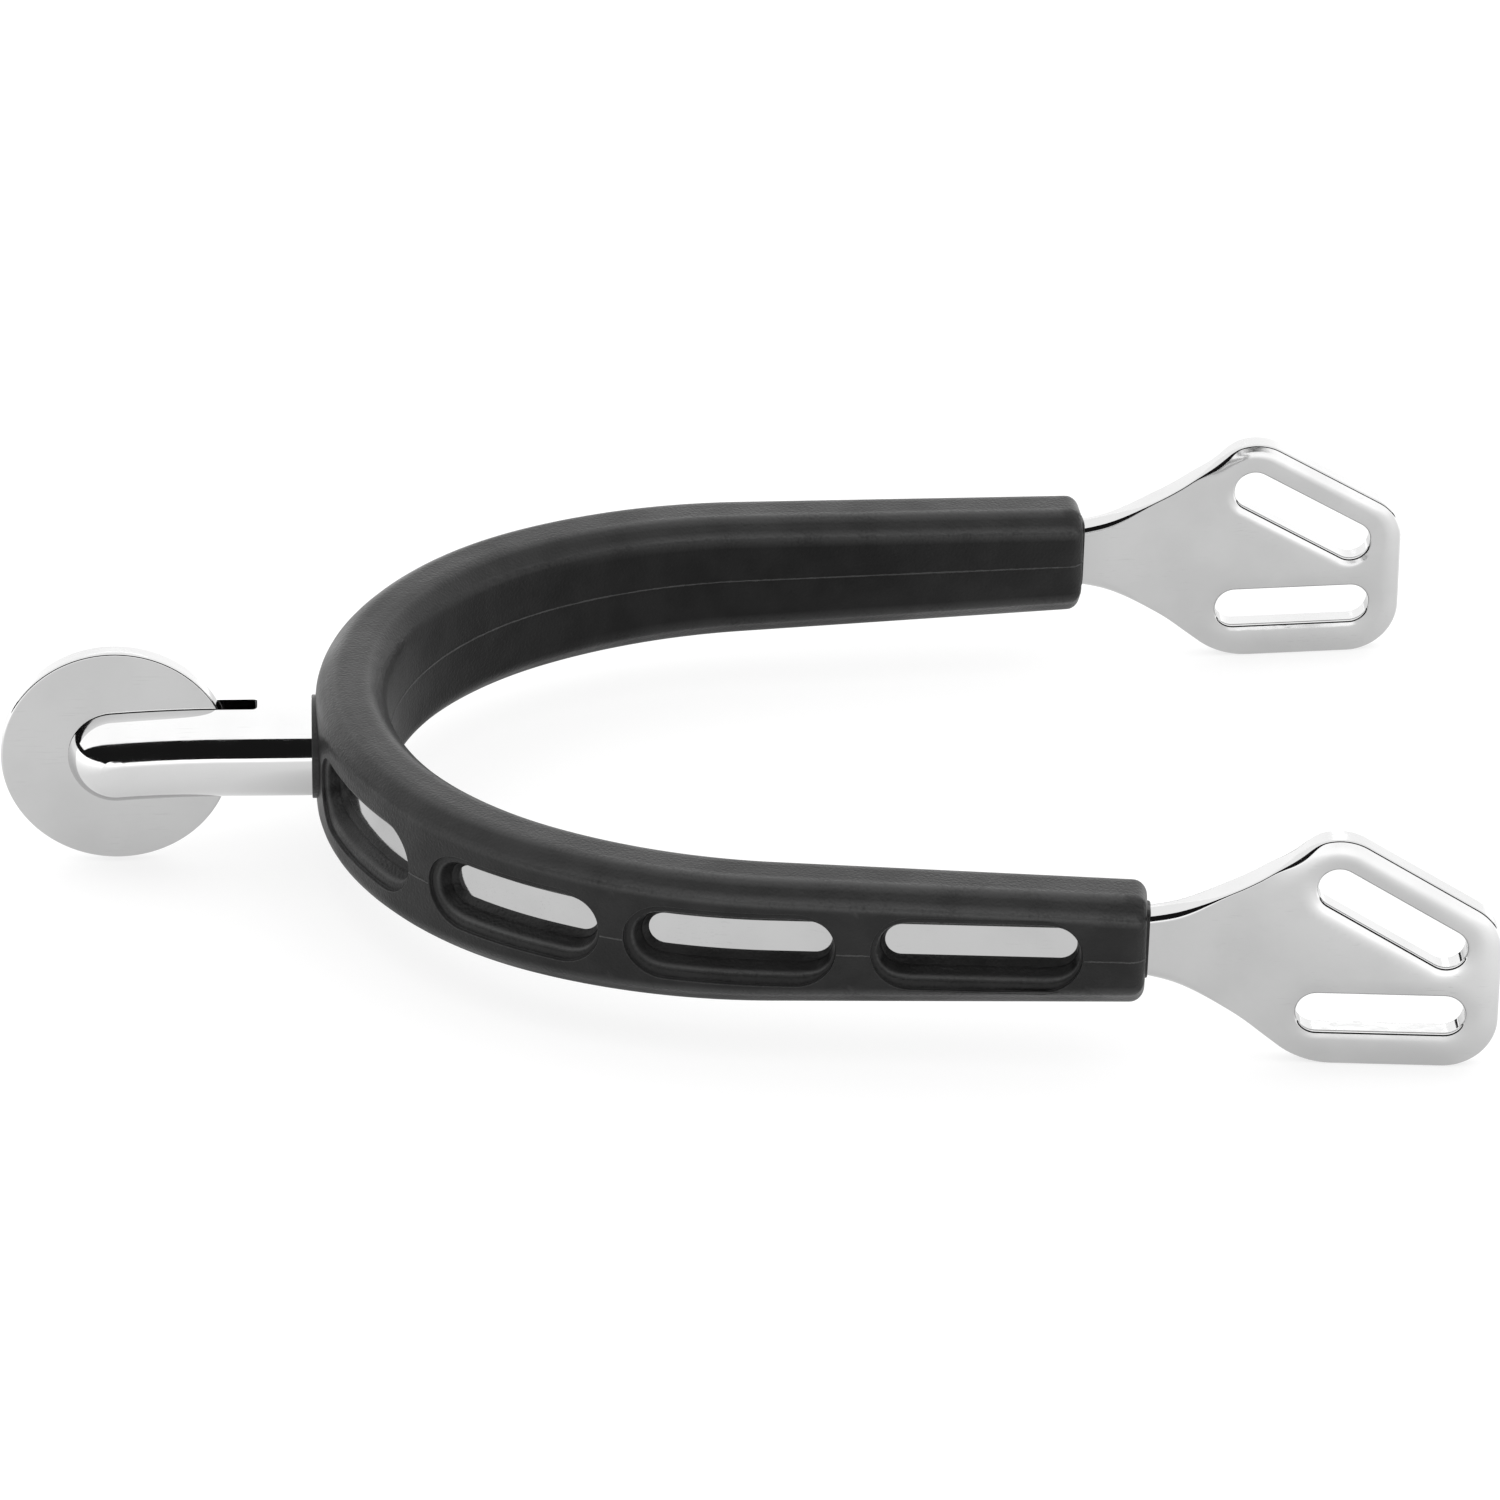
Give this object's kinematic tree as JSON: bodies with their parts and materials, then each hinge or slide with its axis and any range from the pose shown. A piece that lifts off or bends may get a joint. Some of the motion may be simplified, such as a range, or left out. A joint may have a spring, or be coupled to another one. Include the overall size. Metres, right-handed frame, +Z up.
{
  "type": "riding spur",
  "caption": "Riding spur: rubber-covered steel heel band, slotted strap plates, and a round neck holding a smooth free-running disc.",
  "frame": {"origin": "centre of the heel curve at the band's mid-height", "axes": "+X towards the toes, the neck points to -X, +Z up, and the two arms lie either side of Y = 0"},
  "size_m": [0.1517, 0.0956, 0.0256],
  "materials": {
    "band_steel": "polished stainless steel",
    "neck_steel": "polished stainless steel",
    "disc_steel": "polished stainless steel",
    "pin_steel": "polished stainless steel",
    "cover_rubber": "fine matt grain"
  },
  "bodies": {
    "spur": {"heel_band": "band_steel", "neck": "neck_steel", "rowel_pin": "pin_steel", "grip_cover": "cover_rubber"},
    "rowel": {"rowel_disc": "disc_steel"}
  },
  "joints": [
    {"name": "rowel_spin", "type": "hinge", "parent": "spur", "child": "rowel", "pos_m": [-0.0639, 0, -0.00043], "axis": [0, 1, 0], "continuous": true}
  ]
}
